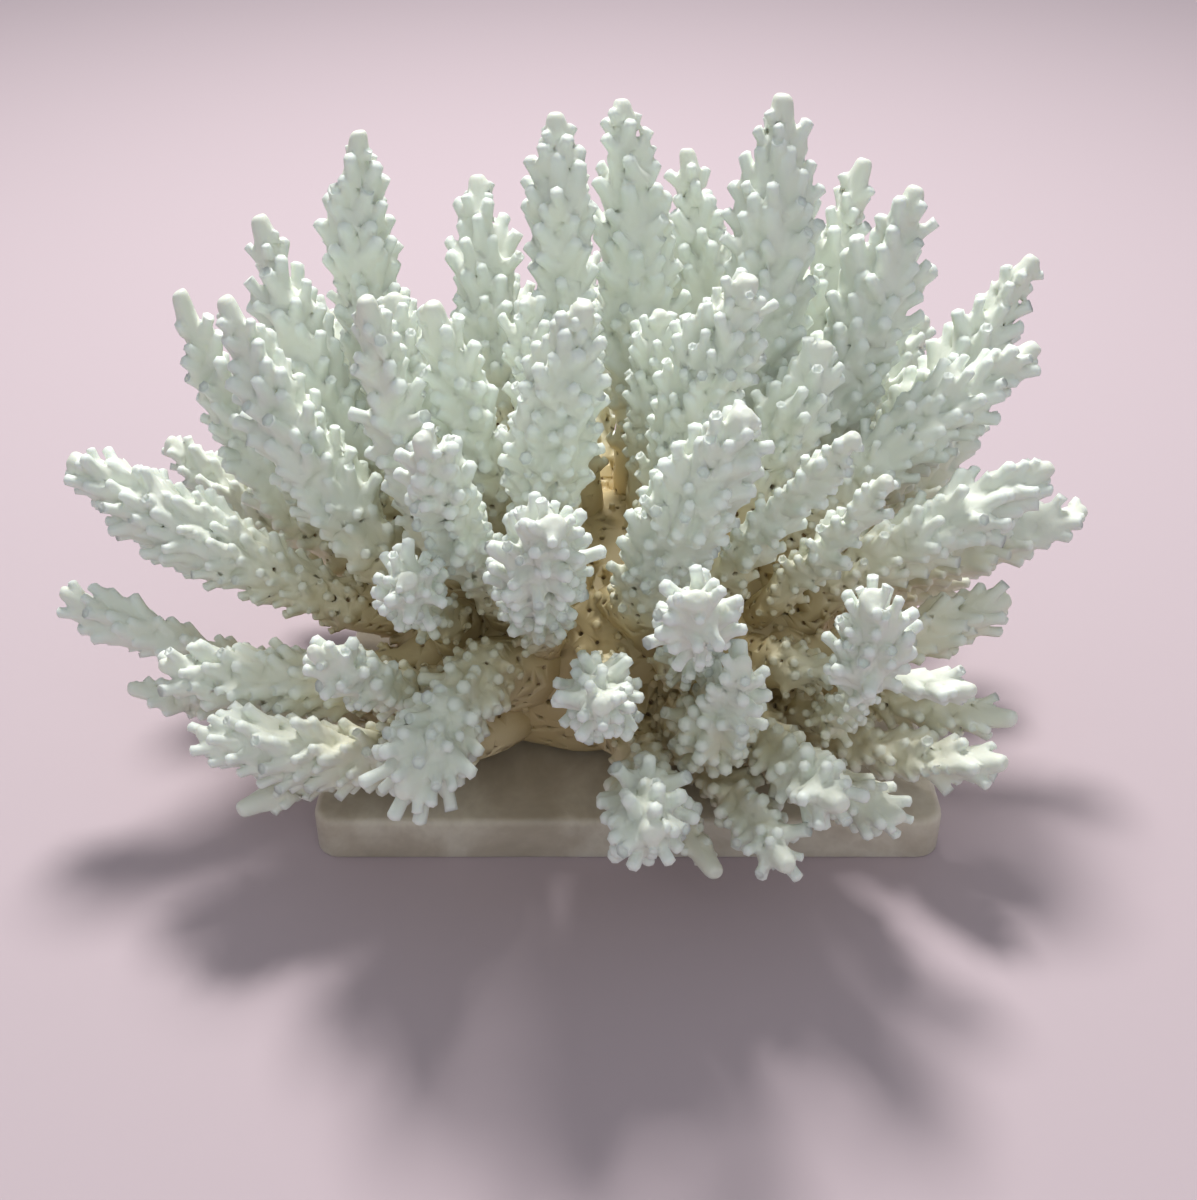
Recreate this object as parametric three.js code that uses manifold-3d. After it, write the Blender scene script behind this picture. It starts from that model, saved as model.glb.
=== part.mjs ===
// A branching stony coral fixed on a small polished stone slab. Millimetres, +Z up.
// The origin is on the underside of the slab, at its middle, and -Y is the front.
import * as THREE from 'three';
import { mergeVertices } from 'three/addons/utils/BufferGeometryUtils.js';
import Module from 'manifold-3d';

const wasm = await Module();
wasm.setup();

// Stone slab: a rectangle with rounded corners and eased edges.
const slabWidth = 90;
const slabDepth = 60;
const slabHeight = 7;
const slabCornerRadius = 3.5;
const slabEdgeEase = 1.1;
const slabEdgeSteps = 2;
const slabCornerSteps = 3;

// Trunk: a low ellipsoid mound, cut flat where it sits on the slab.
const trunkCentre = new THREE.Vector3(-2, 2, 20);
const trunkRadii = new THREE.Vector3(36, 26, 18.5);
const trunkSides = 20;
const trunkRings = 7;

// Branches: clearances, and the form that every finger shares.
const rootGap = 0.3;
const sproutDepth = 1.5;
const neighbourGap = 0.7;
const rootSpacing = 7.8;
const rootPasses = 60;
const rootStep = 0.25;
const stemSweep = 0.36;
const branchSides = 8;
const ringPitch = 6.4;
const leastRings = 6;
const mostRings = 11;
const mergeDistance = 0.001;
const axisSteps = 24;
const tipRadius = 1.8;
const tipDome = 0.7;
const leastRadius = 1.5;

// Corallites: how far they stand out of the finger, and how far they lean towards its tip.
const coralliteHeight = 2.6;
const coralliteShare = 0.4;
const coralliteLean = 0.8;

// Fullness of a finger along its axis, as [place from root to tip, share of the girth].
const fullness = [[0, 0.58], [0.2, 0.84], [0.45, 1], [0.68, 1], [0.8, 0.92], [0.9, 0.66], [1, 0.28]];

// Each finger: tip [x, y, z], the point of the trunk that it leaves [x, y, z], and girth over corallites.
const branches = {
  left_branch: [
    { tip: [-76, -8, 53], from: [-33, -6, 25], girth: 15 },
    { tip: [-79, -14, 35], from: [-34, -10, 18], girth: 11 },
    { tip: [-62, -28, 33], from: [-31, -13, 20], girth: 11 },
    { tip: [-70, -20, 23], from: [-33, -9, 15], girth: 10 },
    { tip: [-56, -36, 28], from: [-27, -17, 18], girth: 14 },
    { tip: [-53, -34, 13], from: [-30, -15, 15], girth: 7 },
    { tip: [-39, -40, 44], from: [-28, -17, 25], girth: 11 },
  ],
  right_branch: [
    { tip: [55, 0, 66], from: [26, -4, 32], girth: 13 },
    { tip: [56, -12, 54], from: [26, -8, 29], girth: 12 },
    { tip: [67, 2, 39], from: [31, 0, 25], girth: 10 },
    { tip: [53, -14, 34], from: [28, -12, 25], girth: 11 },
    { tip: [42, -40, 38], from: [22, -18, 21], girth: 13 },
    { tip: [52, -28, 24], from: [28, -13, 18], girth: 8 },
    { tip: [49, -36, 23], from: [24, -17, 15], girth: 12 },
    { tip: [35, -42, 19], from: [19, -20, 14], girth: 10 },
  ],
  crown_branch: [
    { tip: [-62, 6, 71], from: [-36, 5, 26], girth: 10 },
    { tip: [-52, -8, 76], from: [-34, -7, 29], girth: 12 },
    { tip: [-50, 8, 81], from: [-33, 6, 30], girth: 13 },
    { tip: [-37, 16, 90], from: [-33, 12, 30], girth: 14 },
    { tip: [-32, -20, 81], from: [-24, -12, 33], girth: 14 },
    { tip: [-25, -12, 77], from: [-19, -5, 36], girth: 11 },
    { tip: [-22, 28, 80], from: [-20, 13, 35], girth: 13 },
    { tip: [-10, 14, 93], from: [-8, 6, 38], girth: 15 },
    { tip: [-1, 24, 92], from: [2, 13, 37], girth: 13 },
    { tip: [9, 34, 82], from: [9, 19, 33], girth: 12 },
    { tip: [20, 12, 96], from: [16, 6, 36], girth: 15 },
    { tip: [34, 26, 83], from: [21, 14, 32], girth: 11 },
    { tip: [38, 8, 85], from: [23, 5, 34], girth: 15 },
    { tip: [57, 14, 73], from: [31, 8, 30], girth: 12 },
  ],
  middle_branch: [
    { tip: [-6, -24, 82], from: [-11, -10, 36], girth: 14 },
    { tip: [14, -16, 82], from: [4, -6, 38], girth: 15 },
    { tip: [12, -38, 75], from: [1, -17, 33], girth: 14 },
    { tip: [26, -30, 68], from: [13, -13, 34], girth: 13 },
    { tip: [-24, -40, 73], from: [-23, -14, 32], girth: 13 },
    { tip: [31, -28, 61], from: [20, -12, 31], girth: 9 },
  ],
  front_branch: [
    { tip: [-9, -50, 68], from: [-12, -18, 31], girth: 14 },
    { tip: [-26, -44, 57], from: [-27, -17, 28], girth: 12 },
    { tip: [6, -60, 65], from: [6, -20, 28], girth: 14 },
    { tip: [27, -47, 56], from: [23, -17, 20], girth: 14 },
    { tip: [-28, -50, 30], from: [-20, -21, 27], girth: 14 },
    { tip: [-4, -56, 48], from: [-4, -23, 27], girth: 11 },
    { tip: [13, -45, 46], from: [10, -22, 19], girth: 15 },
    { tip: [25, -52, 30], from: [15, -21, 18], girth: 13 },
    { tip: [2, -58, 31], from: [3, -23, 18], girth: 15 },
    { tip: [19, -53, 21], from: [14, -22, 14], girth: 13 },
    { tip: [11, -45, 12], from: [8, -22, 13], girth: 6 },
  ],
  back_branch: [
    { tip: [-70, 16, 43], from: [-34, 9, 22], girth: 12 },
    { tip: [-56, 36, 28], from: [-26, 17, 17], girth: 12 },
    { tip: [-52, 36, 58], from: [-26, 16, 28], girth: 14 },
    { tip: [-30, 54, 44], from: [-15, 24, 24], girth: 14 },
    { tip: [-8, 60, 30], from: [-4, 26, 18], girth: 13 },
    { tip: [-8, 54, 62], from: [-4, 23, 29], girth: 14 },
    { tip: [18, 56, 48], from: [9, 24, 25], girth: 14 },
    { tip: [28, 52, 24], from: [15, 23, 17], girth: 12 },
    { tip: [36, 44, 62], from: [19, 19, 29], girth: 13 },
    { tip: [48, 40, 38], from: [25, 17, 22], girth: 13 },
    { tip: [56, 28, 42], from: [31, 11, 24], girth: 13 },
  ],
};

// Young sprouts between the fingers, which stay part of the trunk.
const sprouts = [
  { tip: [8, 48, 36], from: [5, 25, 25], girth: 12 },
  { tip: [-20, 44, 58], from: [-12, 21, 31], girth: 12 },
  { tip: [6, 44, 62], from: [4, 20, 32], girth: 12 },
  { tip: [-22, 46, 26], from: [-14, 23, 18], girth: 11 },
  { tip: [-43, 40, 42], from: [-23, 19, 23], girth: 12 },
  { tip: [10, 50, 22], from: [6, 25, 16], girth: 11 },
  { tip: [41, 40, 22], from: [23, 19, 16], girth: 11 },
  { tip: [30, 42, 44], from: [16, 22, 24], girth: 12 },
  { tip: [46, 28, 58], from: [26, 13, 28], girth: 12 },
  { tip: [-56, 24, 58], from: [-30, 11, 26], girth: 12 },
  { tip: [-40, 30, 66], from: [-26, 14, 30], girth: 12 },
  { tip: [-40, 46, 26], from: [-20, 22, 17], girth: 11 },
  { tip: [4, 2, 70], from: [3, 2, 38], girth: 12 },
  { tip: [-14, 2, 72], from: [-11, 0, 38], girth: 12 },
  { tip: [26, -4, 68], from: [15, -3, 36], girth: 12 },
  { tip: [-32, 3, 72], from: [-25, 1, 33], girth: 12 },
  { tip: [59, 14, 26], from: [32, 7, 18], girth: 11 },
];

const coralMaterial = () => new THREE.MeshStandardMaterial({ color: 0xe9ebe2, roughness: 0.62, metalness: 0 });
const trunkMaterial = () => new THREE.MeshStandardMaterial({ color: 0xdcd3b6, roughness: 0.7, metalness: 0 });
const slabMaterial = () => new THREE.MeshStandardMaterial({ color: 0xc9cbbf, roughness: 0.32, metalness: 0 });

function solidOf(geometry) {
  const bare = new THREE.BufferGeometry();
  bare.setAttribute('position', geometry.getAttribute('position'));
  bare.setIndex(geometry.getIndex());
  const merged = mergeVertices(bare, mergeDistance);
  const vertProperties = merged.getAttribute('position').array;
  const triVerts = new Uint32Array(merged.getIndex().array);
  return new wasm.Manifold(new wasm.Mesh({ numProp: 3, vertProperties, triVerts }));
}

function geometryOf(solid) {
  const { vertProperties, triVerts } = solid.getMesh();
  const geometry = new THREE.BufferGeometry();
  geometry.setAttribute('position', new THREE.Float32BufferAttribute(vertProperties, 3));
  geometry.setIndex(new THREE.Uint32BufferAttribute(triVerts, 1));
  geometry.computeVertexNormals();
  return geometry;
}

function namedMesh(name, geometry, material) {
  const mesh = new THREE.Mesh(geometry, material);
  mesh.name = name;
  return mesh;
}

// The slab's outline is drawn inside its edge ease, which the bevel then gives back.
function slabGeometry() {
  const halfWidth = slabWidth / 2 - slabEdgeEase;
  const halfDepth = slabDepth / 2 - slabEdgeEase;
  const corner = slabCornerRadius - slabEdgeEase;
  const outline = new THREE.Shape();
  outline.absarc(halfWidth - corner, -halfDepth + corner, corner, -Math.PI / 2, 0);
  outline.absarc(halfWidth - corner, halfDepth - corner, corner, 0, Math.PI / 2);
  outline.absarc(-halfWidth + corner, halfDepth - corner, corner, Math.PI / 2, Math.PI);
  outline.absarc(-halfWidth + corner, -halfDepth + corner, corner, Math.PI, Math.PI * 1.5);
  outline.closePath();
  const geometry = new THREE.ExtrudeGeometry(outline, {
    depth: slabHeight - 2 * slabEdgeEase,
    bevelThickness: slabEdgeEase,
    bevelSize: slabEdgeEase,
    bevelSegments: slabEdgeSteps,
    curveSegments: slabCornerSteps,
  });
  return geometry.translate(0, 0, slabEdgeEase);
}

// The mound is a unit circle arc turned about the vertical, stretched to the trunk's radii.
function moundGeometry() {
  const seatRise = Math.asin((slabHeight - trunkCentre.z) / trunkRadii.z);
  const profile = [new THREE.Vector2(0, Math.sin(seatRise))];
  for (let ring = 0; ring < trunkRings; ring += 1) {
    const rise = THREE.MathUtils.lerp(seatRise, Math.PI / 2, ring / trunkRings);
    profile.push(new THREE.Vector2(Math.cos(rise), Math.sin(rise)));
  }
  profile.push(new THREE.Vector2(0, 1));
  const geometry = new THREE.LatheGeometry(profile, trunkSides);
  geometry.rotateX(Math.PI / 2);
  geometry.scale(trunkRadii.x, trunkRadii.y, trunkRadii.z);
  return geometry.translate(trunkCentre.x, trunkCentre.y, trunkCentre.z);
}

function onTrunk(point) {
  const offset = point.clone().sub(trunkCentre);
  const reach = offset.clone().divide(trunkRadii).length();
  return trunkCentre.clone().addScaledVector(offset, 1 / reach);
}

function trunkNormal(point) {
  return point.clone().sub(trunkCentre).divide(trunkRadii).divide(trunkRadii).normalize();
}

// Stems crowd on the mound, so roots that stand too close are moved apart along its surface.
function spreadRoots(roots) {
  for (let pass = 0; pass < rootPasses; pass += 1) {
    for (let a = 0; a < roots.length; a += 1) {
      for (let b = a + 1; b < roots.length; b += 1) {
        const apart = roots[a].clone().sub(roots[b]);
        const lack = rootSpacing - apart.length();
        if (lack > 0) {
          apart.setLength(lack * rootStep);
          roots[a].copy(onTrunk(roots[a].clone().add(apart)));
          roots[b].copy(onTrunk(roots[b].clone().sub(apart)));
        }
      }
    }
  }
}

// A finger leaves the mound square to it, never downwards, and sweeps round to its tip.
function branchAxis(root, tip, lift) {
  const normal = trunkNormal(root);
  const start = root.clone().addScaledVector(normal, lift);
  const leaving = normal.clone().setZ(Math.max(normal.z, 0)).normalize();
  const bend = start.clone().addScaledVector(leaving, stemSweep * start.distanceTo(tip));
  return new THREE.QuadraticBezierCurve3(start, bend, tip);
}

function fullnessAt(place) {
  const next = fullness.findIndex(([end]) => end >= place);
  if (next <= 0) {
    return fullness[0][1];
  }
  const [startPlace, startShare] = fullness[next - 1];
  const [endPlace, endShare] = fullness[next];
  return THREE.MathUtils.mapLinear(place, startPlace, endPlace, startShare, endShare);
}

// A finger gives way to its neighbours: each takes half of the room between their axes.
function roomAt(point, otherAxes) {
  let nearest = Infinity;
  for (const points of otherAxes) {
    for (const other of points) {
      nearest = Math.min(nearest, point.distanceTo(other));
    }
  }
  return (nearest - neighbourGap) / 2;
}

// Rings of points along the axis. Every second point of a ring is the end of a corallite,
// and the points between them lie in the valleys. The first and last rings are plain, and the
// first is cut along the face of the mound.
function branchGeometry(branch, otherAxes) {
  const { axis, girth, root } = branch;
  const face = trunkNormal(root);
  const length = axis.getLength();
  const rings = THREE.MathUtils.clamp(Math.round(length / ringPitch) + 1, leastRings, mostRings);
  const frames = axis.computeFrenetFrames(rings - 1);
  const positions = [];
  for (let ring = 0; ring < rings; ring += 1) {
    const place = ring / (rings - 1);
    const centre = axis.getPointAt(place);
    const plain = ring === 0 || ring === rings - 1;
    const wanted = ring === rings - 1 ? tipRadius : fullnessAt(place) * girth / 2;
    const reach = Math.max(Math.min(wanted, roomAt(centre, otherAxes)), leastRadius);
    const height = plain ? 0 : Math.min(coralliteHeight, coralliteShare * reach);
    for (let side = 0; side < branchSides; side += 1) {
      const angle = (side / branchSides) * 2 * Math.PI;
      const isCorallite = !plain && (side + ring) % 2 === 0;
      const radius = isCorallite || plain ? reach : reach - height;
      const offset = frames.normals[ring].clone().multiplyScalar(Math.cos(angle) * radius);
      offset.addScaledVector(frames.binormals[ring], Math.sin(angle) * radius);
      const tangent = frames.tangents[ring];
      const rootSlide = ring === 0 ? -offset.dot(face) / tangent.dot(face) : 0;
      const slide = isCorallite ? height * coralliteLean : rootSlide;
      const point = centre.clone().add(offset).addScaledVector(tangent, slide);
      positions.push(point.x, point.y, point.z);
    }
  }
  const rootCentre = axis.getPointAt(0);
  const tipCentre = axis.getPointAt(1).addScaledVector(frames.tangents[rings - 1], tipDome);
  positions.push(rootCentre.x, rootCentre.y, rootCentre.z, tipCentre.x, tipCentre.y, tipCentre.z);
  const geometry = new THREE.BufferGeometry();
  geometry.setAttribute('position', new THREE.Float32BufferAttribute(positions, 3));
  geometry.setIndex(branchTriangles(rings));
  geometry.computeVertexNormals();
  return geometry;
}

// Each quad between two rings is split so that its diagonal joins two valley points,
// which leaves every corallite a peak of its own.
function branchTriangles(rings) {
  const triangles = [];
  const rootCentre = rings * branchSides;
  const tipCentre = rootCentre + 1;
  const lastRing = (rings - 1) * branchSides;
  for (let side = 0; side < branchSides; side += 1) {
    const next = (side + 1) % branchSides;
    triangles.push(rootCentre, next, side);
    triangles.push(tipCentre, lastRing + side, lastRing + next);
    for (let ring = 0; ring < rings - 1; ring += 1) {
      const lowA = ring * branchSides + side;
      const lowB = ring * branchSides + next;
      const highA = lowA + branchSides;
      const highB = lowB + branchSides;
      if ((side + ring) % 2 === 0) {
        triangles.push(lowA, lowB, highA, lowB, highB, highA);
      } else {
        triangles.push(lowA, lowB, highB, lowA, highB, highA);
      }
    }
  }
  return triangles;
}

function branchRow(name, row, lift) {
  const root = onTrunk(new THREE.Vector3(...row.from));
  return { name, lift, root, tip: new THREE.Vector3(...row.tip), girth: row.girth };
}

function listBranches() {
  const rows = [];
  for (const [group, list] of Object.entries(branches)) {
    for (const [index, row] of list.entries()) {
      const number = String(index + 1).padStart(2, '0');
      rows.push(branchRow(`${group}_${number}`, row, rootGap));
    }
  }
  for (const row of sprouts) {
    rows.push(branchRow('sprout', row, -sproutDepth));
  }
  return rows;
}

// Every finger grows against all the others. The sprouts are joined to the mound.
function growCoral() {
  const rows = listBranches();
  spreadRoots(rows.map((row) => row.root));
  for (const row of rows) {
    row.axis = branchAxis(row.root, row.tip, row.lift);
    row.points = row.axis.getSpacedPoints(axisSteps);
  }
  const pieces = [];
  let trunk = solidOf(moundGeometry());
  for (const row of rows) {
    const otherAxes = rows.filter((other) => other !== row).map((other) => other.points);
    const geometry = branchGeometry(row, otherAxes);
    if (row.name === 'sprout') {
      trunk = trunk.add(solidOf(geometry));
    } else {
      pieces.push(namedMesh(row.name, geometry, coralMaterial()));
    }
  }
  pieces.unshift(namedMesh('trunk', geometryOf(trunk), trunkMaterial()));
  return pieces;
}

const coralSpecimen = new THREE.Group();
coralSpecimen.add(namedMesh('stone_base', slabGeometry(), slabMaterial()));
coralSpecimen.add(...growCoral());

export default coralSpecimen;
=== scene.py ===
import math

import bpy
import numpy as np
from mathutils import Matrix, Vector, noise
from mathutils.bvhtree import BVHTree


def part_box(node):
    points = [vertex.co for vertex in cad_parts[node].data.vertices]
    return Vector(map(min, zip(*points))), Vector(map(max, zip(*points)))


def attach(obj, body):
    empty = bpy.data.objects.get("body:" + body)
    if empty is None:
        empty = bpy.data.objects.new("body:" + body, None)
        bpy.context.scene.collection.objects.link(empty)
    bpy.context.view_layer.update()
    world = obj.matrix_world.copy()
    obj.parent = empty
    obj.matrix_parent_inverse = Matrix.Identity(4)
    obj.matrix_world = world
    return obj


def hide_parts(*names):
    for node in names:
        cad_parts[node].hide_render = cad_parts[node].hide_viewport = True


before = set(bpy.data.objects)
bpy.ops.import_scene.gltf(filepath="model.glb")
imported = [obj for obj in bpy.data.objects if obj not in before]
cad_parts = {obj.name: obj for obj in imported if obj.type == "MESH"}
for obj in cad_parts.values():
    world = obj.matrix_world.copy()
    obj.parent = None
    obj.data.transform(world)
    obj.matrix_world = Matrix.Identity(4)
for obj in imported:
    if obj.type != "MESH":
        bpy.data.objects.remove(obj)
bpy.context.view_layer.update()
mm = 0.001
scene = bpy.context.scene


# camera, at the height and tilt that the picture was taken from
cameraView = {
    "place": (-4.25, -188.3, 151.6),  # mm
    "tilt": 56.0,                     # degrees up from straight down
    "lens": 45.0,
    "sensor": 36.0,
    "nearest": 10.0,                  # mm, nothing closer is drawn
}


def addCamera(view):
    data = bpy.data.cameras.new("pictureCamera")
    data.lens = view["lens"]
    data.sensor_width = view["sensor"]
    data.clip_start = view["nearest"] * mm
    camera = bpy.data.objects.new("pictureCamera", data)
    camera.location = Vector(view["place"]) * mm
    camera.rotation_euler = (math.radians(view["tilt"]), 0, 0)
    scene.collection.objects.link(camera)
    scene.camera = camera


addCamera(cameraView)
print("camera set")


# small helpers for node trees
def feed(tree, socket, value):
    if isinstance(value, bpy.types.NodeSocket):
        tree.links.new(value, socket)
    else:
        socket.default_value = value


def addNode(tree, kind, settings=None, inputs=None):
    node = tree.nodes.new(kind)
    for key, value in (settings or {}).items():
        setattr(node, key, value)
    for key, value in (inputs or {}).items():
        feed(tree, node.inputs[key], value)
    return node


def calculate(tree, operation, *values):
    node = addNode(tree, "ShaderNodeMath", {"operation": operation}, dict(enumerate(values)))
    return node.outputs[0]


def vectorMath(tree, operation, *values):
    node = addNode(tree, "ShaderNodeVectorMath", {"operation": operation}, dict(enumerate(values)))
    return node.outputs["Value" if operation == "LENGTH" else "Vector"]


def mapRange(tree, value, given, wanted):
    inputs = {"Value": value, 1: given[0], 2: given[1], 3: wanted[0], 4: wanted[1]}
    return addNode(tree, "ShaderNodeMapRange", {}, inputs).outputs[0]


def addNoise(tree, vector, scale, detail=3.0, rough=0.55):
    inputs = {"Vector": vector, "Scale": scale, "Detail": detail, "Roughness": rough}
    return addNode(tree, "ShaderNodeTexNoise", {}, inputs).outputs["Fac"]


def addRamp(tree, factor, stops):
    ramp = addNode(tree, "ShaderNodeValToRGB", {}, {"Fac": factor})
    elements = ramp.color_ramp.elements
    while len(elements) < len(stops):
        elements.new(0.5)
    for element, (place, colour) in zip(elements, stops):
        element.position = place
        element.color = (*colour, 1)
    return ramp.outputs["Color"]


def mixColours(tree, share, first, second):
    node = addNode(tree, "ShaderNodeMix", {"data_type": "RGBA"}, {0: share, 6: first, 7: (*second, 1)})
    return node.outputs[2]


def meshValue(tree, name):
    return addNode(tree, "ShaderNodeAttribute", {"attribute_name": name}).outputs["Fac"]


def freshMaterial(name):
    material = bpy.data.materials.new(name)
    material.use_nodes = True
    tree = material.node_tree
    tree.nodes.clear()
    shader = addNode(tree, "ShaderNodeBsdfPrincipled")
    output = addNode(tree, "ShaderNodeOutputMaterial")
    tree.links.new(shader.outputs["BSDF"], output.inputs["Surface"])
    return material, tree, shader


def addBump(tree, shader, height, look):
    bump = addNode(tree, "ShaderNodeBump", {}, {
        "Strength": look["bumpStrength"], "Distance": look["bumpDepth"] * mm, "Height": height})
    feed(tree, shader.inputs["Normal"], bump.outputs["Normal"])


def letLightIn(shader, look):
    shader.inputs["Subsurface Weight"].default_value = look["glow"]
    shader.inputs["Subsurface Radius"].default_value = look["glowRadii"]
    shader.inputs["Subsurface Scale"].default_value = look["glowDepth"] * mm


# coral: white outside, cream to tan towards the mound that the fingers grow from
coralLook = {
    "centre": (-2, 2, 20),         # mm, middle of the mound
    "radii": (36, 26, 18.5),       # mm, the mound's half sizes
    "fade": (0.9, 2.5),            # in half sizes, where the run of colours starts and ends
    "colours": [
        (0.00, (0.52, 0.41, 0.21)),
        (0.15, (0.68, 0.58, 0.35)),
        (0.36, (0.78, 0.75, 0.57)),
        (0.68, (0.79, 0.83, 0.74)),
    ],
    "cloudScale": 140,
    "cloudShare": 0.22,            # how far the clouds push the colours in or out
    # painted light and shade: corallite ends get this paler colour while their bases keep the creamier
    # body colour, in place of the shade between corallites
    "nubLitColour": (0.82, 0.89, 0.83),
    # painted shade at the bottom of each pore
    "poreShadeColour": (0.26, 0.17, 0.08),
    "grain": (1900, 4.0, 0.6),     # scale, detail and roughness of the noise
    "bumpStrength": 0.25,
    "bumpDepth": 0.12,             # mm
    "roughness": (0.42, 0.62),
    "glow": 0.2,                   # more takes longer to render
    "glowRadii": (1.0, 0.9, 0.65),
    "glowDepth": 1.9,              # mm
}


def coralMaterial(look):
    material, tree, shader = freshMaterial("coralSkeleton")
    place = addNode(tree, "ShaderNodeTexCoord").outputs["Object"]
    fromCentre = vectorMath(tree, "SUBTRACT", place, [value * mm for value in look["centre"]])
    inRadii = vectorMath(tree, "DIVIDE", fromCentre, [value * mm for value in look["radii"]])
    outward = mapRange(tree, vectorMath(tree, "LENGTH", inRadii), look["fade"], (0, 1))
    clouds = addNoise(tree, place, look["cloudScale"])
    cloudy = calculate(tree, "MULTIPLY_ADD", clouds, look["cloudShare"], outward)
    level = calculate(tree, "SUBTRACT", cloudy, look["cloudShare"] / 2)
    body = addRamp(tree, level, look["colours"])
    # painted shade between corallites: over the outer parts their ends are whitened and their bases stay
    # creamier
    nubLitShare = calculate(tree, "MULTIPLY", meshValue(tree, "nub"), outward)
    nubsPaintedLit = mixColours(tree, nubLitShare, body, look["nubLitColour"])
    # painted shade: each pore is darkened at its bottom ring
    poreShaded = mixColours(tree, meshValue(tree, "pit"), nubsPaintedLit, look["poreShadeColour"])
    feed(tree, shader.inputs["Base Color"], poreShaded)
    feed(tree, shader.inputs["Roughness"], mapRange(tree, clouds, (0, 1), look["roughness"]))
    addBump(tree, shader, addNoise(tree, place, *look["grain"]), look)
    letLightIn(shader, look)
    return material


coral = coralMaterial(coralLook)


# fingers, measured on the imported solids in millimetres
moundCentre = np.array(coralLook["centre"], float)
moundRadii = np.array(coralLook["radii"], float)
measuring = {
    "endShare": 8,                # one point in so many counts as the tip
    "endLeast": 4,
    "aside": (0.31, 0.17, 0.93),  # a direction that no finger has
}


def meshPoints(mesh):
    flat = np.zeros(len(mesh.vertices) * 3)
    mesh.vertices.foreach_get("co", flat)
    points, index = np.unique(np.round(flat.reshape(-1, 3) / mm, 3), axis=0, return_inverse=True)
    return points, index.reshape(-1)  # points without doubles, and the point of each vertex


def wallOf(mesh):
    corners = [vertex.co for vertex in mesh.vertices]
    return BVHTree.FromPolygons(corners, [tuple(face.vertices) for face in mesh.polygons])


def outness(points):
    return np.linalg.norm((points - moundCentre) / moundRadii, axis=1)


def alongAxis(bend, run):
    return np.outer(run ** 2, bend[0]) + np.outer(run, bend[1]) + bend[2]


def axisPoint(stem, run):
    kept = max(run, stem["low"])  # below its solid a root runs straight on
    tangent = 2 * kept * stem["bend"][0] + stem["bend"][1]
    middle = alongAxis(stem["bend"], np.array([kept]))[0] + tangent * (run - kept)
    return middle, tangent / np.linalg.norm(tangent)


def sideways(stem, angle):
    return math.cos(angle) * stem["side"] + math.sin(angle) * stem["other"]


def measureStem(points, wall):
    order = np.argsort(outness(points))
    few = max(measuring["endLeast"], len(points) // measuring["endShare"])
    main = points[order[-few:]].mean(0) - points[order[:2 * few]].mean(0)
    main /= np.linalg.norm(main)
    run = points @ main
    bend = np.polyfit(run, points, 2)  # the stem's middle line
    side = np.cross(main, measuring["aside"])
    side /= np.linalg.norm(side)
    offset = points - alongAxis(bend, run)
    return {
        "side": side, "other": np.cross(main, side), "bend": bend, "wall": wall,
        "low": run.min(), "high": run.max(), "girth": np.linalg.norm(offset, axis=1).max(),
    }


stemShape = {              # lengths in mm
    "sides": 12,
    "ringPitch": 1.7,
    "ringsLeast": 5,
    "sink": 8.0,           # how far the root runs on into the mound
    "rootEnd": ((0.8, 1.2), (0.4, 2.0)),  # size and depth of the rings that round it off
    "flare": 0.38,
    "flareRun": 14.0,      # how far up and down the flare goes
    "least": 1.3,          # thinnest stem radius
    "tube": 2.0,           # length of the bare tube at the tip
    "tubePart": 0.25,      # most of a finger that its tube may be
    "tubeShare": 0.24,     # tube radius in girths, kept between the next two
    "tubeLeast": 1.3,
    "tubeMost": 1.7,
    "tubeEnd": ((0.98, 0.7), (0.84, 0.25), (0.55, 0.04), (0.3, 0), (0.16, 0.14)),  # round, dimpled
    "proud": 0.35,         # how far the corallites may pass the solid
    "unmeasured": (0.8, 0.3),  # ends of the solid that the rays stay off
    "reach": (0.7, 2.5),   # shortest and longest corallite
    "lumps": 0.06,
    "lumpSize": 6.0,
    # tables from 0 at the solid's root to 1 at its tip
    "taper": ([0, 0.5, 0.8, 1], [1, 1, 0.92, 0.72]),
    "rise": ([0, 0.15, 0.35, 0.75, 1], [0.7, 1.1, 1.8, 2.2, 2.2]),        # room for corallites
    "cover": ([0, 0.07, 0.15, 0.27, 0.9, 1], [0, 0.12, 0.6, 1, 1, 0.4]),  # how many grow
    "bare": ([0, 0.08, 0.3, 0.45], [0.9, 0.8, 0.4, 0]),                   # how many pores
    "lean": ([0, 0.3, 0.75, 0.95], [0.7, 1.1, 1.3, 1.7]),                 # lean to the tip
}


def evenAngles(count):
    return np.arange(count) * 2 * math.pi / count


def wallDistances(stem, runs, angles):
    found = np.full((len(runs), len(angles)), stem["girth"])
    for row, run in enumerate(runs):
        middle = Vector(axisPoint(stem, run)[0] * mm)
        for column, angle in enumerate(angles):
            distance = stem["wall"].ray_cast(middle, Vector(sideways(stem, angle)))[3]
            if distance is not None:
                found[row, column] = min(distance / mm, stem["girth"])
    return found


def envelope(stem, runs, shape):
    lowEnd, highEnd = shape["unmeasured"]
    measured = np.clip(runs, stem["low"] + lowEnd, stem["high"] - highEnd)
    walls = wallDistances(stem, measured, evenAngles(2 * shape["sides"]))
    ridge = np.maximum.reduce([np.roll(walls, turn, 1) for turn in (-2, -1, 0, 1, 2)])  # the crests count
    return ridge[:, ::2] + shape["proud"]


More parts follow.
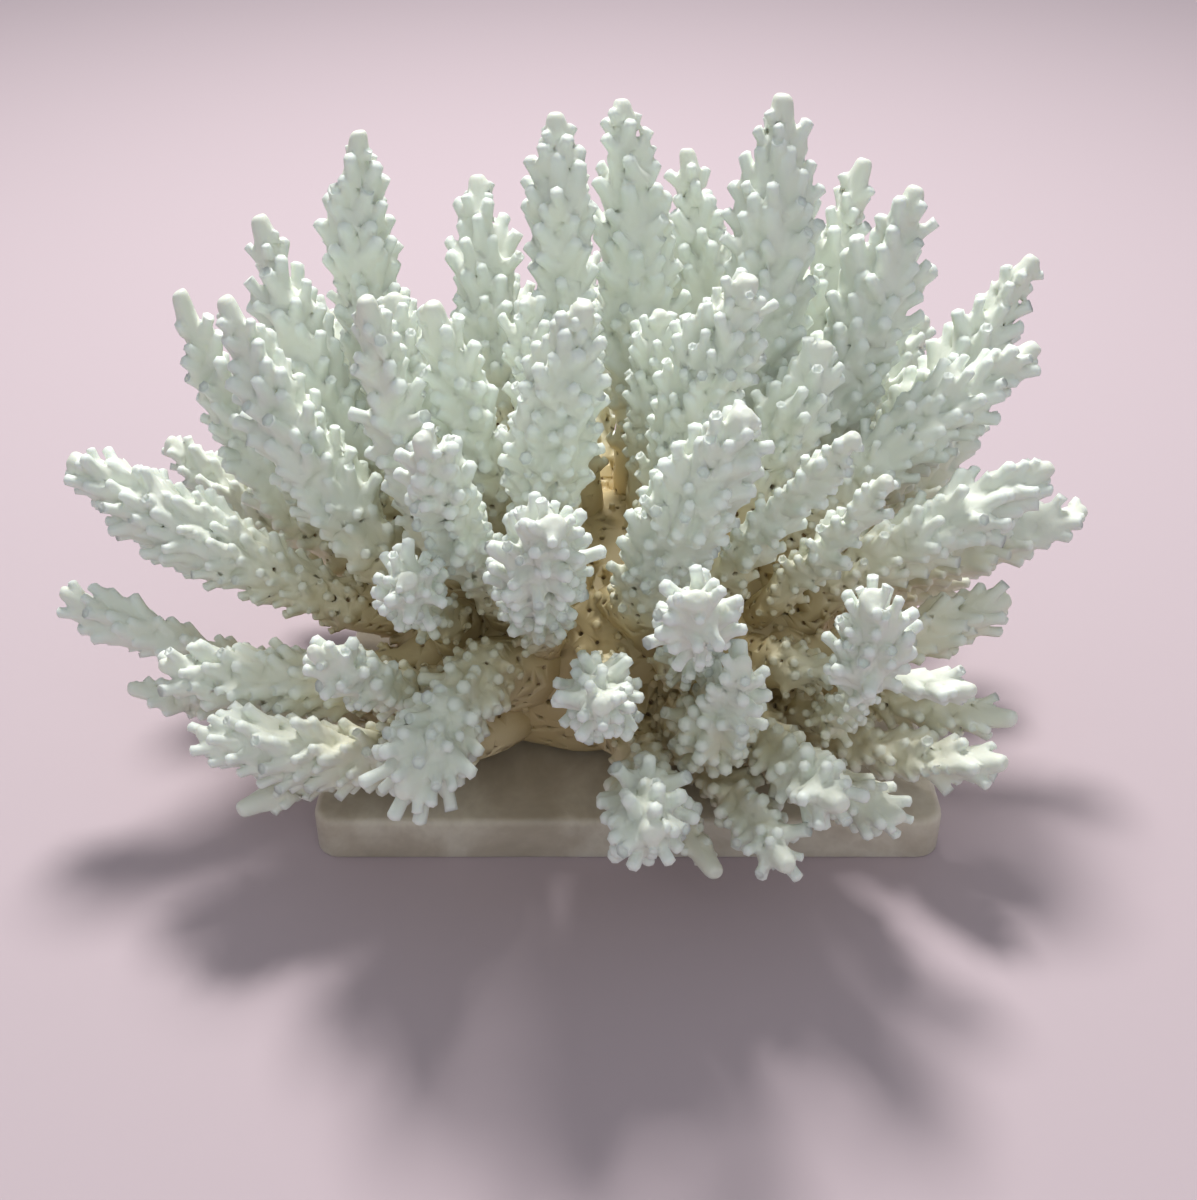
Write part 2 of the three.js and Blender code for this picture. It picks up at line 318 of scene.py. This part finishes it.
def stemRings(stem, shape):
    low, high = stem["low"], stem["high"]
    tubeRadius = np.clip(shape["tubeShare"] * stem["girth"], shape["tubeLeast"], shape["tubeMost"])
    tube = min(shape["tube"], shape["tubePart"] * (high - low))
    count = max(shape["ringsLeast"], round((high - tube - low + shape["sink"]) / shape["ringPitch"]))
    runs = np.linspace(low - shape["sink"], high - tube, count + 1)
    rings = []
    for run, outer in zip(runs, envelope(stem, runs, shape)):
        share = max(0, (run - low) / (high - low))
        flareShare = max(0, 1 - abs(run - low) / shape["flareRun"])
        outer = outer * np.interp(share, *shape["taper"])
        radii = np.maximum(outer - np.interp(share, *shape["rise"]), max(shape["least"], tubeRadius))
        radii = radii * (1 + shape["flare"] * flareShare)
        rings.append({
            "run": run, "radii": radii, "reach": np.clip(outer - radii, *shape["reach"]),
            "cover": np.interp(share, *shape["cover"]) if run > low else 0,
            "bare": np.interp(share, *shape["bare"]), "lean": np.interp(share, *shape["lean"])})
    root = rings[0]
    for size, depth in shape["rootEnd"]:
        rings.insert(0, {**root, "run": root["run"] - depth, "radii": root["radii"] * size})
    flat = np.ones(shape["sides"])
    for size, drop in ((1.0, tube / 2), *shape["tubeEnd"]):
        rings.append({
            "run": high - drop, "radii": flat * tubeRadius * size, "reach": flat * shape["reach"][0],
            "cover": 0, "bare": 0, "lean": 1.0})
    return rings


slabLow, slabHigh = [np.array(corner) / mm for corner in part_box("stone_base")]
slabGap = 0.1  # mm between the slab and a finger over it


def aboveSlab(point):
    inside = np.all(point[:2] > slabLow[:2]) and np.all(point[:2] < slabHigh[:2])
    return np.array([point[0], point[1], max(point[2], slabHigh[2] + slabGap)]) if inside else point


def ringFaces(ringCount, sides):
    faces = []
    for ring in range(ringCount - 1):
        for k in range(sides):
            a = ring * sides + k
            b = ring * sides + (k + 1) % sides
            faces.append((a, b, b + sides, a + sides))
    faces.append(tuple(reversed(range(sides))))
    faces.append(tuple(range((ringCount - 1) * sides, ringCount * sides)))
    return faces


def storeValues(mesh, label, values):
    values = np.array(values, float)
    kind, field = ("FLOAT", "value") if values.ndim == 1 else ("FLOAT_VECTOR", "vector")
    mesh.attributes.new(label, kind, "POINT").data.foreach_set(field, values.ravel())


def closedRings(name, points, sides, values):
    mesh = bpy.data.meshes.new(name)
    mesh.from_pydata([tuple(point * mm) for point in points], [], ringFaces(len(points) // sides, sides))
    for label, numbers in values.items():
        storeValues(mesh, label, numbers)
    mesh.update()
    return mesh


def buildStem(name, stem, shape):
    points = []
    values = {"reach": [], "cover": [], "bare": [], "towardTip": []}
    for ring in stemRings(stem, shape):
        middle, tangent = axisPoint(stem, ring["run"])
        growing = ring["cover"] > 0 or ring["bare"] > 0
        for k, angle in enumerate(evenAngles(shape["sides"])):
            outward = sideways(stem, angle) * ring["radii"][k]
            lump = noise.noise(Vector(middle + outward) / shape["lumpSize"])
            points.append(aboveSlab(middle + outward * (1 + shape["lumps"] * lump * growing)))
            values["reach"].append(ring["reach"][k])
            values["cover"].append(ring["cover"])
            values["bare"].append(ring["bare"])
            values["towardTip"].append(tangent * ring["lean"])
    return closedRings(name, points, shape["sides"], values)


# corallites: short tubes, most with a blunt round end and some open, as radius and height in mm
nubShape = {
    "sides": 6,
    "height": 2.85,
    "blunt": [(1.4, -0.9), (1.22, 0.4), (1.08, 1.4), (1.0, 2.1), (0.72, 2.65), (0.3, 2.86)],
    "open": [(1.4, -0.9), (1.18, 0.5), (1.04, 1.7), (1.0, 2.5), (0.7, 2.82), (0.42, 2.4)],
    "kinds": (("blunt", 0.0), ("blunt", 0.4), ("blunt", 0.2), ("open", 0.2), ("blunt", 0.6)),  # with bend
    # how much each ring, from base to end, is painted lighter: painted shade between corallites
    "litEnds": (0, 0.12, 0.5, 0.85, 1, 1),
}
poreShape = {
    "sides": 6,
    "profile": [(0.3, -0.8), (0.4, -0.06), (0.44, 0.5)],
    # painted shade: the bottom ring of a pore is darkened
    "shadedRing": (1, 0, 0),
    "rim": (1, 1, 1),
}


def lathe(name, profile, sides, ringValues, bend=0.0, height=1.0):
    points = []
    for radius, rise in profile:
        lean = bend * (max(0, rise) / height) ** 2
        for angle in evenAngles(sides):
            points.append(np.array([radius * math.cos(angle) + lean, radius * math.sin(angle), rise]))
    values = {label: np.repeat(numbers, sides) for label, numbers in ringValues.items()}
    return closedRings(name, points, sides, values)


def buildNubs(shape):
    group = bpy.data.collections.new("nubShapes")
    for index, (kind, bend) in enumerate(shape["kinds"]):
        values = {"nub": shape["litEnds"]}
        mesh = lathe(f"nub{index}", shape[kind], shape["sides"], values, bend, shape["height"])
        group.objects.link(bpy.data.objects.new(f"nub{index}", mesh))
    return group


def buildPore(shape):
    values = {"pit": shape["shadedRing"], "rim": shape["rim"]}
    return bpy.data.objects.new("pore", lathe("pore", shape["profile"], shape["sides"], values))


nubs = buildNubs(nubShape)
pore = buildPore(poreShape)


# the tree that grows corallites on a stem and drills its pores
growRules = {
    "mostDense": 2.0e6,       # tries on a square metre, before the spacing thins them
    "widths": (0.82, 1.16),
    "lengths": (0.42, 0.68),
    "reaches": (0.7, 2.4),    # mm, a short and a long corallite
    "girths": (0.72, 1.05),   # how wide those two are
    "bores": (0.7, 1.3),
    "webbing": 3,             # rounds of smoothing at the bases
    "sharpRim": 0.6,          # an edge with more rim than this stays sharp
}


def attribute(tree, name, kind="FLOAT"):
    return addNode(tree, "GeometryNodeInputNamedAttribute", {"data_type": kind}, {"Name": name}).outputs[0]


def randomBetween(tree, limits, seed):
    inputs = {2: limits[0], 3: limits[1], 8: seed}
    return addNode(tree, "FunctionNodeRandomValue", {"data_type": "FLOAT"}, inputs).outputs[1]


def scatter(tree, mesh, spacing, amount, seed):
    return addNode(tree, "GeometryNodeDistributePointsOnFaces", {"distribute_method": "POISSON"}, {
        "Mesh": mesh, "Distance Min": spacing, "Density Max": growRules["mostDense"],
        "Density Factor": attribute(tree, amount), "Seed": seed}).outputs


def growNubs(tree, given, stems):
    seed = given["Seed"]
    places = scatter(tree, stems, given["Spacing"], "cover", seed)
    toTip = attribute(tree, "towardTip", "FLOAT_VECTOR")
    leaning = vectorMath(tree, "MULTIPLY_ADD", toTip, given["Lean"], places["Normal"])
    stray = addNode(tree, "FunctionNodeRandomValue", {"data_type": "FLOAT_VECTOR"},
                    {0: (-1, -1, -1), 1: (1, 1, 1), 8: seed})
    strayed = vectorMath(tree, "MULTIPLY_ADD", stray.outputs[0], given["Jitter"], leaning)
    upright = addNode(tree, "FunctionNodeAlignRotationToVector", {"axis": "Z"}, {"Vector": strayed})
    facing = addNode(tree, "FunctionNodeAlignRotationToVector", {"axis": "X", "pivot_axis": "Z"},
                     {"Rotation": upright.outputs[0], "Vector": toTip})
    reach = attribute(tree, "reach")
    girth = mapRange(tree, reach, growRules["reaches"], growRules["girths"])
    wide = calculate(tree, "MULTIPLY", randomBetween(tree, growRules["widths"], seed), given["Width"])
    width = calculate(tree, "MULTIPLY", wide, girth)
    tall = calculate(tree, "MULTIPLY", randomBetween(tree, growRules["lengths"], seed), given["Length"])
    length = calculate(tree, "MULTIPLY", tall, reach)
    size = addNode(tree, "ShaderNodeCombineXYZ", {}, {0: width, 1: width, 2: length})
    kinds = addNode(tree, "GeometryNodeCollectionInfo", {}, {0: given["Nubs"], 1: True, 2: True})
    choice = addNode(tree, "FunctionNodeRandomValue", {"data_type": "INT"},
                     {4: 0, 5: len(nubShape["kinds"]) - 1, 8: seed})
    grown = addNode(tree, "GeometryNodeInstanceOnPoints", {}, {
        "Points": places["Points"], "Instance": kinds.outputs[0], "Pick Instance": True,
        "Instance Index": choice.outputs[2], "Rotation": facing.outputs[0], "Scale": size.outputs[0]})
    return grown.outputs[0]


def webBases(tree, mesh):
    loose = calculate(tree, "SUBTRACT", 1.0, attribute(tree, "nub"))  # the corallite ends, painted lighter, stay put
    blurred = addNode(tree, "GeometryNodeBlurAttribute", {"data_type": "FLOAT_VECTOR"},
                      {"Iterations": growRules["webbing"], "Weight": loose})
    vectorIn = next(socket for socket in blurred.inputs if socket.type == "VECTOR")
    vectorOut = next(socket for socket in blurred.outputs if socket.type == "VECTOR")
    feed(tree, vectorIn, addNode(tree, "GeometryNodeInputPosition").outputs[0])
    return addNode(tree, "GeometryNodeSetPosition", {}, {0: mesh, "Position": vectorOut}).outputs[0]


def drillPores(tree, given, stems, mesh):
    places = scatter(tree, stems, given["Pore Spacing"], "bare", given["Seed"])
    drill = addNode(tree, "GeometryNodeObjectInfo", {}, {0: given["Pore"]})
    drills = addNode(tree, "GeometryNodeInstanceOnPoints", {}, {
        "Points": places["Points"], "Instance": drill.outputs["Geometry"],
        "Rotation": places["Rotation"], "Scale": randomBetween(tree, growRules["bores"], given["Seed"])})
    drilled = addNode(tree, "GeometryNodeMeshBoolean", {"operation": "DIFFERENCE", "solver": "MANIFOLD"},
                      {"Mesh 1": mesh, "Mesh 2": drills.outputs[0]})
    return drilled.outputs[0]


def shadeCoral(tree, mesh):
    rims = calculate(tree, "GREATER_THAN", attribute(tree, "rim"), growRules["sharpRim"])
    soft = addNode(tree, "GeometryNodeSetShadeSmooth", {}, {0: mesh})
    edged = addNode(tree, "GeometryNodeSetShadeSmooth", {"domain": "EDGE"},
                    {0: soft.outputs[0], 1: rims, 2: False})
    return edged.outputs[0]


treeInputs = {
    "Geometry": "NodeSocketGeometry",
    "Shoots": "NodeSocketCollection",
    "Nubs": "NodeSocketCollection",
    "Pore": "NodeSocketObject",
    "Spacing": "NodeSocketFloat",
    "Lean": "NodeSocketFloat",
    "Jitter": "NodeSocketFloat",
    "Width": "NodeSocketFloat",
    "Length": "NodeSocketFloat",
    "Pore Spacing": "NodeSocketFloat",
    "Seed": "NodeSocketInt",
    "Finish": "NodeSocketMaterial",
}


def coralliteTree():
    tree = bpy.data.node_groups.new("growCorallites", "GeometryNodeTree")
    for name, kind in treeInputs.items():
        tree.interface.new_socket(name, in_out="INPUT", socket_type=kind)
    tree.interface.new_socket("Geometry", in_out="OUTPUT", socket_type="NodeSocketGeometry")
    given = addNode(tree, "NodeGroupInput").outputs
    shoots = addNode(tree, "GeometryNodeCollectionInfo", {}, {0: given["Shoots"], 1: True, 2: True})
    shootMesh = addNode(tree, "GeometryNodeRealizeInstances", {}, {0: shoots.outputs[0]})
    stems = addNode(tree, "GeometryNodeJoinGeometry", {}, {0: given["Geometry"]})
    tree.links.new(shootMesh.outputs[0], stems.inputs[0])
    grown = growNubs(tree, given, stems.outputs[0])
    joined = addNode(tree, "GeometryNodeMeshBoolean", {"operation": "UNION", "solver": "MANIFOLD"})
    for part in (given["Geometry"], shoots.outputs[0], grown):
        tree.links.new(part, joined.inputs["Mesh 2"])
    webbed = webBases(tree, joined.outputs[0])
    drilled = drillPores(tree, given, stems.outputs[0], webbed)
    real = addNode(tree, "GeometryNodeRealizeInstances", {}, {0: shadeCoral(tree, drilled)})
    finished = addNode(tree, "GeometryNodeSetMaterial", {},
                       {0: real.outputs[0], "Material": given["Finish"]})
    output = addNode(tree, "NodeGroupOutput")
    tree.links.new(finished.outputs[0], output.inputs[0])
    return tree


growTree = coralliteTree()
sockets = {item.name: item.identifier for item in growTree.interface.items_tree if item.in_out == "INPUT"}

corallites = {
    "Spacing": 2.0 * mm,
    "Lean": 1.0,
    "Jitter": 0.24,
    "Width": 1.06,
    "Length": 1.0,
    "Pore Spacing": 1.7 * mm,
}


def plantCorallites(piece, seed, settings, shoots=None):
    modifier = piece.modifiers.new("corallites", "NODES")
    modifier.node_group = growTree
    for name in corallites:
        modifier[sockets[name]] = settings[name]
    modifier[sockets["Seed"]] = seed
    modifier[sockets["Shoots"]] = shoots
    modifier[sockets["Nubs"]] = nubs
    modifier[sockets["Pore"]] = pore
    modifier[sockets["Finish"]] = coral


def settle(pieces):
    graph = bpy.context.evaluated_depsgraph_get()
    for piece in pieces:
        mesh = bpy.data.meshes.new_from_object(piece.evaluated_get(graph))
        mesh.name = piece.name
        for label in ("reach", "cover", "bare", "rim", "towardTip"):
            if label in mesh.attributes:
                mesh.attributes.remove(mesh.attributes[label])
        piece.modifiers.clear()
        piece.data = mesh


# fingers that differ from the rest in the picture, a later kind going over an earlier one
fingerKinds = {
    "crown": {
        "fingers": [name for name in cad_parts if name.startswith("crown_branch_")],
        "proud": 0.95, "tubeLeast": 1.65, "tubeMost": 1.85, "tube": 3.4,
        "taper": ([0, 0.45, 0.75, 1], [1, 1, 0.86, 0.52]),
        "Width": 1.26, "Length": 1.1, "Lean": 0.9, "Spacing": 2.45 * mm},
    "rosette": {
        "fingers": ("front_branch_01", "front_branch_02", "front_branch_03", "front_branch_04",
                    "front_branch_06"),
        "tube": 0.9, "taper": ([0, 1], [1, 0.95]),
        "Width": 1.02, "Length": 1.12, "Lean": 0.8, "Spacing": 1.9 * mm},
    "petals": {
        "fingers": ("front_branch_05", "front_branch_07", "front_branch_08", "front_branch_09",
                    "front_branch_10"),
        "rise": ([0, 0.15, 0.35, 0.75, 1], [0.7, 1.2, 2.2, 2.8, 2.6]), "reach": (0.7, 3.2),
        "Width": 1.12, "Lean": 0.75, "Spacing": 2.0 * mm},
    "longTip": {
        "fingers": ("left_branch_06", "right_branch_06", "right_branch_07", "front_branch_08",
                    "front_branch_10", "front_branch_11"),
        "tube": 4.6, "tubeLeast": 1.7, "tubeMost": 1.9},
    "stout": {
        "fingers": ("left_branch_02", "left_branch_03", "front_branch_08", "front_branch_10",
                    "right_branch_06", "right_branch_07", "right_branch_08"),
        "proud": 1.1},
    "stoutest": {
        "fingers": ("left_branch_05", "front_branch_05", "front_branch_07"),
        "proud": 1.8},
}
fingerVariety = {  # first factor, step, and how many fingers until it starts again
    "Width": (0.95, 0.04, 4),
    "tube": (0.8, 0.2, 3),
}
firstSeed = 11


def fingerSettings(name, index):
    settings = {**stemShape, **corallites}
    for key, (first, step, count) in fingerVariety.items():
        settings[key] *= first + step * (index % count)
    for kind in fingerKinds.values():
        if name in kind["fingers"]:
            settings.update(kind)
    return settings


fingerNames = sorted(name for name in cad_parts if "_branch_" in name)
pieces = []
for index, name in enumerate(fingerNames):
    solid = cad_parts[name].data
    stem = measureStem(meshPoints(solid)[0], wallOf(solid))
    settings = fingerSettings(name, index)
    piece = bpy.data.objects.new(f"{name}_coral", buildStem(f"{name}_stem", stem, settings))
    scene.collection.objects.link(piece)
    plantCorallites(piece, firstSeed + index, settings)
    pieces.append((piece, name))
print("stems measured:", len(pieces))


# mound with its side shoots
moundShape = {
    "sides": 84,
    "rings": 28,
    "shrink": 0.94,        # roots stand out of it
    "flutes": 0.10,        # stems grown together show as upright folds
    "fluteSize": (7.0, 7.0, 30.0),
    "lumps": 0.03,
    "lumpSize": 3.5,
    "floor": round(slabHigh[2], 3),
    "bare": 0.8,
    "cover": 0.25,
    "reach": 0.9,          # mm, height of its small corallites
    "cleanRings": 7,       # lowest rings that carry none
    "shootEdge": 1.04,     # in mound radii, points past it are a shoot's
    "shootLeast": 12,      # fewer points are no shoot
    "seed": 5,
    "Pore Spacing": 2.2 * mm,
}


def buildMound(shape):
    start = math.asin((shape["floor"] - moundCentre[2]) / moundRadii[2] / shape["shrink"])
    points, away = [], []
    for ring in range(shape["rings"]):
        rise = start + (math.pi / 2 - start) * ring / (shape["rings"] - 0.5)  # ends just off the pole
        for turn in evenAngles(shape["sides"]):
            across = math.cos(rise)
            unit = np.array([across * math.cos(turn), across * math.sin(turn), math.sin(rise)])
            place = moundRadii * unit * shape["shrink"]
            fold = shape["flutes"] * noise.noise(Vector(place / shape["fluteSize"])) * across
            lump = shape["lumps"] * noise.noise(Vector(place / shape["lumpSize"]))
            size = np.array([1 + fold + lump] * 3)
            if ring == 0:
                size[2] = 1.0  # the lowest ring lies flat on the slab
            points.append(moundCentre + place * size)
            away.append(unit)
    count = len(points)
    clean = shape["cleanRings"] * shape["sides"]
    values = {
        "reach": [shape["reach"]] * count, "cover": [shape["cover"] * (k > clean) for k in range(count)],
        "bare": [shape["bare"]] * count, "towardTip": away}
    return closedRings("mound", points, shape["sides"], values)


def findShoots(mesh, shape):
    points, index = meshPoints(mesh)
    free = outness(points) > shape["shootEdge"]
    parent = list(range(len(points)))

    def root(k):
        while parent[k] != k:
            parent[k] = parent[parent[k]]
            k = parent[k]
        return k

    for polygon in mesh.polygons:  # points that share a face are on one shoot
        corners = [index[v] for v in polygon.vertices if free[index[v]]]
        for a, b in zip(corners, corners[1:]):
            parent[root(a)] = root(b)
    groups = {}
    for k in np.flatnonzero(free):
        groups.setdefault(root(k), []).append(points[k])
    return [np.array(group) for group in groups.values() if len(group) > shape["shootLeast"]]


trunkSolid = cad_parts["trunk"].data
trunkWall = wallOf(trunkSolid)
shootGroup = bpy.data.collections.new("sideShoots")
for index, points in enumerate(findShoots(trunkSolid, moundShape)):
    shootMesh = buildStem(f"shoot{index}", measureStem(points, trunkWall), stemShape)
    shootGroup.objects.link(bpy.data.objects.new(f"shoot{index}", shootMesh))
trunk = bpy.data.objects.new("trunk_coral", buildMound(moundShape))
scene.collection.objects.link(trunk)
plantCorallites(trunk, moundShape["seed"], {**corallites, **moundShape}, shootGroup)
pieces.append((trunk, "trunk"))

settle([piece for piece, name in pieces])
counts = []
for piece, name in pieces:
    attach(piece, "root")
    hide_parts(name)
    counts.append(sum(len(polygon.vertices) - 2 for polygon in piece.data.polygons))
print("coral grown, triangles:", sum(counts), "most on one piece:", max(counts))


# slab of cloudy stone with eased edges
slabShape = {              # lengths in mm
    "corner": 3.5,
    "easeTop": 1.1,        # round of the top edge
    "easeLow": 0.35,       # the bottom edge is crisper
    "arc": 8,              # steps round a corner
    "steps": 4,            # steps over an eased edge
    "side": 12,            # steps along a straight side
    "uneven": 0.12,        # hand cut
    "unevenSize": 9.0,
    "unevenUp": 0.3,       # share of it that goes up and down
}


def between(start, end, share):
    return tuple(a + (b - a) * share for a, b in zip(start, end))


def slabOutline(shape, inset):
    middle = (slabLow + slabHigh) / 2
    reach = (slabHigh - slabLow) / 2 - shape["corner"]
    radius = shape["corner"] - inset
    corners = []
    for quarter, (right, far) in enumerate(((1, 1), (-1, 1), (-1, -1), (1, -1))):
        for step in range(shape["arc"] + 1):
            angle = math.pi / 2 * (quarter + step / shape["arc"])
            corners.append((middle[0] + right * reach[0] + radius * math.cos(angle),
                            middle[1] + far * reach[1] + radius * math.sin(angle)))
    outline = []
    for k, start in enumerate(corners):
        outline.append(start)
        end = corners[(k + 1) % len(corners)]
        if k % (shape["arc"] + 1) == shape["arc"]:  # a straight side follows
            outline += [between(start, end, step / shape["side"]) for step in range(1, shape["side"])]
    return outline


def easedEdge(ease, steps):
    angles = [math.pi / 2 * step / steps for step in range(steps + 1)]
    return [(ease * (1 - math.sin(angle)), ease * (1 - math.cos(angle))) for angle in angles]


def buildSlab(shape):
    lowEdge = easedEdge(shape["easeLow"], shape["steps"])
    topEdge = easedEdge(shape["easeTop"], shape["steps"])
    levels = [(inset, slabLow[2] + rise) for inset, rise in lowEdge]
    levels += [(inset, slabHigh[2] - drop) for inset, drop in reversed(topEdge)]
    points = []
    for inset, height in levels:
        flatFace = height in (slabLow[2], slabHigh[2])
        for x, y in slabOutline(shape, inset):
            wave = noise.noise(Vector((x, y, height)) / shape["unevenSize"]) * shape["uneven"]
            away = np.array([x, y]) / math.hypot(x, y)
            level = height if flatFace else max(slabLow[2], height + shape["unevenUp"] * wave)
            points.append(np.array([x - abs(wave) * away[0], y - abs(wave) * away[1], level]))
    return closedRings("stone", points, len(points) // len(levels), {})


stoneLook = {
    "clouds": [
        (0.30, (0.40, 0.35, 0.27)),
        (0.46, (0.52, 0.46, 0.37)),
        (0.60, (0.67, 0.62, 0.52)),
        (0.75, (0.48, 0.42, 0.33)),
    ],
    "cloudNoise": (55, 5.0, 0.62),  # scale, detail and roughness
    "bendScale": 30,
    "bendDetail": 2,
    "bend": (0.02, 0.02, 0.01),     # metres that the clouds are pulled about
    "grainScale": 900,
    "bumpStrength": 0.15,
    "bumpDepth": 0.1,               # mm
    "roughness": (0.3, 0.5),
    "glow": 0.5,
    "glowRadii": (1.0, 0.95, 0.75),
    "glowDepth": 2.0,               # mm
}


def stoneMaterial(look):
    material, tree, shader = freshMaterial("cloudyStone")
    place = addNode(tree, "ShaderNodeTexCoord").outputs["Object"]
    bent = addNode(tree, "ShaderNodeTexNoise", {}, {
        "Vector": place, "Scale": look["bendScale"], "Detail": look["bendDetail"]})
    shifted = vectorMath(tree, "MULTIPLY_ADD", bent.outputs["Color"], look["bend"], place)
    clouds = addNoise(tree, shifted, *look["cloudNoise"])
    feed(tree, shader.inputs["Base Color"], addRamp(tree, clouds, look["clouds"]))
    grain = addNoise(tree, place, look["grainScale"])
    feed(tree, shader.inputs["Roughness"], mapRange(tree, grain, (0, 1), look["roughness"]))
    addBump(tree, shader, grain, look)
    letLightIn(shader, look)
    return material


slabMesh = buildSlab(slabShape)
slabMesh.materials.append(stoneMaterial(stoneLook))
slabMesh.shade_smooth()
slab = bpy.data.objects.new("slab_stone", slabMesh)
scene.collection.objects.link(slab)
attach(slab, "root")
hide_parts("stone_base")
print("slab cut")


# floor and light, in metres
floorLook = {"size": 8.0, "colour": (0.52, 0.43, 0.47), "roughness": 0.8}
lampAim = Vector((0, 0, 0.03))
lamps = [
    {"name": "key", "place": (-0.03, 0.30, 0.62), "size": 0.17, "power": 4.9, "colour": (1.0, 0.98, 0.95)},
    {"name": "fill", "place": (0.15, -0.85, 0.65), "size": 0.9, "power": 1.7, "colour": (0.95, 0.98, 1.0)},
]
studioLook = {"colour": (0.92, 0.95, 1.0), "strength": 0.38}


def addFloor(look):
    half = look["size"] / 2
    corners = [(-half, -half, 0), (half, -half, 0), (half, half, 0), (-half, half, 0)]
    mesh = bpy.data.meshes.new("floor")
    mesh.from_pydata(corners, [], [(0, 1, 2, 3)])
    floor = bpy.data.objects.new("floor", mesh)
    material, tree, shader = freshMaterial("paleFloor")
    shader.inputs["Base Color"].default_value = (*look["colour"], 1)
    shader.inputs["Roughness"].default_value = look["roughness"]
    mesh.materials.append(material)
    scene.collection.objects.link(floor)


def addLamp(lamp):
    data = bpy.data.lights.new(lamp["name"], "AREA")
    data.shape = "DISK"
    data.size = lamp["size"]
    data.energy = lamp["power"]
    data.color = lamp["colour"]
    light = bpy.data.objects.new(lamp["name"], data)
    light.location = lamp["place"]
    light.rotation_euler = (lampAim - light.location).to_track_quat("-Z", "Y").to_euler()
    scene.collection.objects.link(light)


def addStudio(look):
    world = bpy.data.worlds.new("studio")
    world.use_nodes = True
    background = world.node_tree.nodes["Background"]
    background.inputs["Color"].default_value = (*look["colour"], 1)
    background.inputs["Strength"].default_value = look["strength"]
    scene.world = world


addFloor(floorLook)
for lamp in lamps:
    addLamp(lamp)
addStudio(studioLook)
scene.view_settings.view_transform = "Standard"
print("stage lit")
